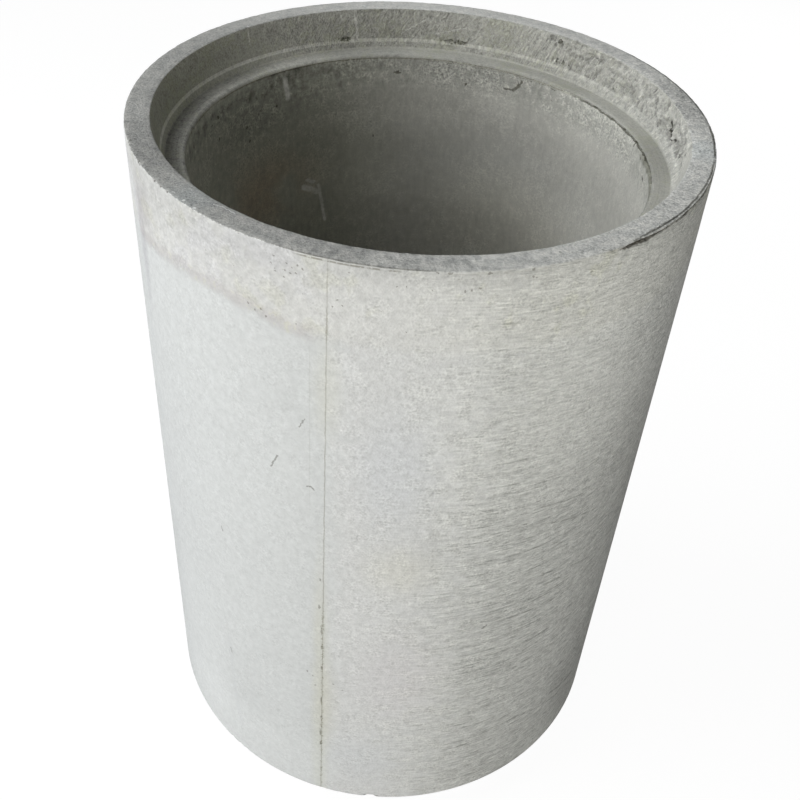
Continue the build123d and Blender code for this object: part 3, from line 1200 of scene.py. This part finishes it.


# %% [markdown]
# The bore was packed by a roller and is smooth, apart from the 45 mm below the lip, which the socket ring
# disturbed. It is darker and warmer than the outside, with a brown damp patch deep on the left, and it holds
# a few pits, a drip and a pale scrape. Its left side faces away from the lamps and gets painted shade, the
# wall gets more painted shade the deeper it goes, and its right side gets painted light.

# %% Bore


def bore_concrete():
    mix = Concrete("bore_concrete", bore_radius, "inside")
    speckle = mix.lumps(3.0, 2, 0.65)
    mottle = mix.lumps(11, 2, 0.6)
    cloud = mix.lumps(70, 2, 0.5)
    upright = mix.lumps(6, 2, 0.55, mix.stretched(0.25))
    patchy = mix.soft(mottle + cloud, -0.10, 0.16) * 0.9 + 0.25

    lip_depth = (rim_height - ledge_height) / mm
    upper = mix.soft(mix.depth + cloud * 30, lip_depth + 62, lip_depth + 30)
    # the hidden near side, at 0 degrees, lies between the lit side and the dark one
    lit = mix.arc(60, 165, 40)
    dark = mix.arc(220, 310, 40)
    shallow = mix.soft(mix.depth, 230.0, 150.0)
    mix.colour = mix.blend(upper, (0.60, 0.592, 0.545, 1), (0.53, 0.527, 0.483, 1))
    brown = mix.blot(232, 250, 150, 110, 0.0) * mix.soft(cloud, -0.12, 0.12)
    mix.shade(brown, (0.92, 0.80, 0.73))
    mix.shade(mix.blot(150, 340, 200, 160, 0.2), (1.02, 1.01, 0.97))
    mix.shade(dark, (0.99, 1.0, 0.94))
    mix.vary(
        # the patterns of the wall, coarser near the lip
        speckle * patchy * (upper * (lit * 0.9 + 0.5) + dark * 0.55 * shallow + 0.75)
        + mottle * (upper * 0.65 + dark * 0.15 * shallow + 0.34)
        + cloud * 0.24
        + upright * 0.26
        # painted light on the lit right side
        + mix.arc(66, 120, 28) * 0.20
        + mix.arc(70, 90, 14) * mix.soft(mix.depth, 160.0, 210.0) * 0.05
        # the back, with the last line of the socket ring
        - mix.soft(abs(mix.depth - 118), 36.0, 10.0) * mix.arc(170, 240, 12) * 0.13
        + mix.soft(abs(mix.depth - 235), 90.0, 40.0) * mix.arc(148, 198, 12) * 0.10
        + mix.level(lip_depth + 49, 3) * mix.arc(140, 230, 20) * 0.04
        # painted shade on the left side, which faces away from the lamps; lighter just under the lip on the
        # left and darker under it at the back; and painted shade that grows with the depth of the bore
        - dark * 0.26
        + mix.soft(mix.depth, 84.0, 66.0) * mix.arc(250, 300, 28) * 0.24
        - mix.soft(mix.depth, 95.0, 70.0) * mix.arc(165, 320, 35) * 0.16
        - mix.soft(mix.depth, 230.0, 380.0) * 0.17
    )
    # dark pits and the gouge, with painted shade in those that are pressed into the wall
    dents = mix.marks(
        blots=[
            (250.4, 83, 2.4, 3.2), (253.8, 88, 1.6, 2.6), (237.6, 126, 2.2, 3.6), (236.6, 149, 2.4, 3.2),
            (267.1, 86, 2.2, 3.6), (188.1, 84, 7.5, 2.6), (194.5, 188, 2.0, 2.6), (167.8, 94, 2.0, 3.4),
            (104.1, 65, 2.0, 4.0), (98.7, 70, 1.6, 3.0), (93.5, 86, 2.4, 5.5), (147.9, 58, 2.0, 1.6),
            (250.4, 116, 2.6, 4.0), (226.0, 111, 2.2, 2.6),
        ],
        strokes=[
            ((156.0, 87), (153.2, 86), 2.2), ((153.2, 86), (151.6, 77), 3.4), ((151.6, 77), (150.8, 69), 2.2),
        ],
    )
    dents = mix.together([dents, mix.blot(232.0, 88, 12, 5.0) * 0.4])
    mix.shade(dents * 0.9, (0.34, 0.33, 0.30))
    pores = mix.pinholes(9, 1.3, 0.30) * (lit * 0.4 + 0.6)
    mix.shade(pores * (upper * 0.75 + 0.25), (0.55, 0.54, 0.50))
    pale = mix.marks(
        blots=[(131.2, 275, 2.0, 2.4)],
        strokes=[
            ((223.0, 74), (222.0, 104), 6.0), ((216.8, 262), (212.3, 275), 7.0),
            ((211.8, 264), (209.6, 330), 4.0), ((215.8, 251), (213.4, 256), 4.0),
        ],
    )
    mix.paint(pale * (mottle * 1.6 + 0.60), (0.78, 0.775, 0.74))

    # the dark line under the lip: heavy on the right, where it is painted shade in the crack and under the
    # lip, and faint all round the back; and painted shade where the skin is broken out
    below_lip = mix.depth - lip_depth - 5.2
    lip_line = mix.soft(abs(below_lip + mottle * 4), 1.6, 0.5)
    mix.shade(lip_line * mix.arc(96, 128, 8), (0.32, 0.32, 0.29))
    mix.shade(mix.soft(below_lip + mottle * 10, 11.0, 5.0) * mix.arc(58, 94, 10), (0.5, 0.5, 0.46))
    mix.shade(lip_line * mix.arc(138, 290, 10), (0.68, 0.67, 0.62))
    dashes = mix.soft(abs(below_lip - 2.5 + mottle * 8), 1.4, 0.4) * mix.arc(140, 176, 8)
    mix.shade(dashes * mix.soft(speckle, -0.04, 0.08), (0.45, 0.45, 0.41))
    mix.shade(mix.soft(mix.lost, 1.2, 3.0), (0.5, 0.49, 0.45))
    mix.height = speckle * (upper * 1.2 + 0.6) + mottle * (upper * 1.4 + 0.6)
    return mix.finish(0.9)


# %% [markdown]
# There are four kinds of finish, laid on the faces by their place: the rim, the socket with its step and
# ledge, the bore, and the barrel with the spigot. The barrel's finish is made three times, for the two sides
# of the mould line and for the back. Each only carries the single marks of its own part, which keeps it quick
# to render, and the patterns run on from one to the next. All of them are the one concrete of the record.
# Four meshes could carry them as well, but the pipe is one cast piece, and one mesh has no gaps.

# %% Finishes laid on the faces
side_end = 100
mouth_edge = 1.2 * mm
outer_edge = 0.7 * mm
lip_edge = 5 * mm
lip_foot = 3.6 * mm

finishes = [
    barrel_concrete("barrel_back", side_end, 360 - side_end),
    rim_concrete(),
    socket_concrete(),
    bore_concrete(),
    barrel_concrete("barrel_left", -side_end, mould_line + 0.5),
    barrel_concrete("barrel_right", mould_line - 0.5, side_end),
]
for finish in finishes:
    pipe.data.materials.append(finish)
    print(finish.name, "nodes", len(finish.node_tree.nodes))
radius, angle, height = face_middles(pipe)
below_rim = height < rim_height - mouth_edge
region = np.zeros(len(radius), np.int32)
region[within(angle, -side_end, mould_line)] = 4
region[within(angle, mould_line, side_end)] = 5
region[(height > rim_height - mouth_edge) & (radius < barrel_radius - outer_edge)] = 1
region[below_rim & (radius < barrel_radius - rim_width / 2)] = 2
region[(height < ledge_height - lip_foot) & (radius < bore_radius + lip_edge)] = 3
# the shoulder, the spigot and its end face
region[(height < shoulder_height + 2 * mm) & (radius > bore_radius + 1 * mm)] = 0
pipe.data.polygons.foreach_set("material_index", region)
pipe.data.update()

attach(pipe, "root")
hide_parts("pipe")

# %% [markdown]
# The pipe stands on a pale floor in a studio whose background is white. A very bright floor would look
# white too, but it would light the pipe. So the white comes from Light Path's Is Camera Ray, which only
# the camera sees, and the lamps light the pipe at a plain level. The floor keeps a little of its own
# shading, so the pipe's shadow stays on it.

# %% Floor and background
floor_half = 6.0
bpy.ops.object.select_all(action="DESELECT")
bpy.ops.mesh.primitive_plane_add(size=2 * floor_half, location=(0, 0, 0))
floor = bpy.context.object
floor.name = "floor"
paper = Recipe(bpy.data.materials.new("floor_paper"))
camera_ray = paper.node("ShaderNodeLightPath", output="Is Camera Ray")
diffuse = paper.node("ShaderNodeBsdfDiffuse", None, {"Color": (0.55, 0.55, 0.55, 1)})
glow = paper.node("ShaderNodeEmission", None, {"Color": (1, 1, 1, 1), "Strength": 1.15})
blend = paper.node("ShaderNodeMixShader", None, {0: camera_ray * 0.82, 1: diffuse, 2: glow})
paper.node("ShaderNodeOutputMaterial", None, {"Surface": blend})
floor.data.materials.append(paper.owner)

world = bpy.data.worlds.new("studio")
bpy.context.scene.world = world
studio = Recipe(world)
dim = studio.node("ShaderNodeBackground", None, {"Color": (0.95, 0.98, 1.0, 1), "Strength": 0.03})
white = studio.node("ShaderNodeBackground", None, {"Color": (1, 1, 1, 1), "Strength": 1.0})
seen = studio.node("ShaderNodeLightPath", output="Is Camera Ray")
sky = studio.node("ShaderNodeMixShader", None, {0: seen, 1: dim, 2: white})
studio.node("ShaderNodeOutputWorld", None, {"Surface": sky})

# %% [markdown]
# The light comes from the left, as from a row of windows: one low and one high. A low lamp beside the
# camera fills the front, and two weak ones behind the pipe light the rim and the far side.

# %% Lamps
lamps = [
    # name, azimuth and elevation in degrees, width, height, power, tint
    ("left_low", -78, 9, 4.2, 1.6, 65, (1.0, 1.02, 1.04)),
    ("front_low", -5, 9, 4.2, 1.6, 104, (1.0, 1.0, 0.97)),
    ("left_high", -85, 50, 3.0, 3.0, 102, (1.0, 1.02, 1.04)),
    ("back_low", 140, 8, 3.0, 1.6, 24, (1.0, 1.0, 0.98)),
    ("back_high", 165, 42, 3.0, 3.0, 15, (1.0, 1.0, 1.0)),
]
lamp_distance = 4.0
lamp_target = 0.75 * rim_height
for name, azimuth, elevation, width, tall, power, tint in lamps:
    data = bpy.data.lights.new(name, "AREA")
    data.shape = "RECTANGLE"
    data.size = width
    data.size_y = tall
    data.energy = power
    data.color = tint
    lamp = bpy.data.objects.new(name, data)
    bpy.context.scene.collection.objects.link(lamp)
    turn = Matrix.Rotation(math.radians(azimuth), 4, "Z")
    tilt = Matrix.Rotation(math.radians(90 - elevation), 4, "X")
    back = Matrix.Translation((0, 0, lamp_distance))
    lamp.matrix_world = Matrix.Translation((0, 0, lamp_target)) @ turn @ tilt @ back
print("lamps", len(lamps))

bpy.context.scene.view_settings.view_transform = "Standard"
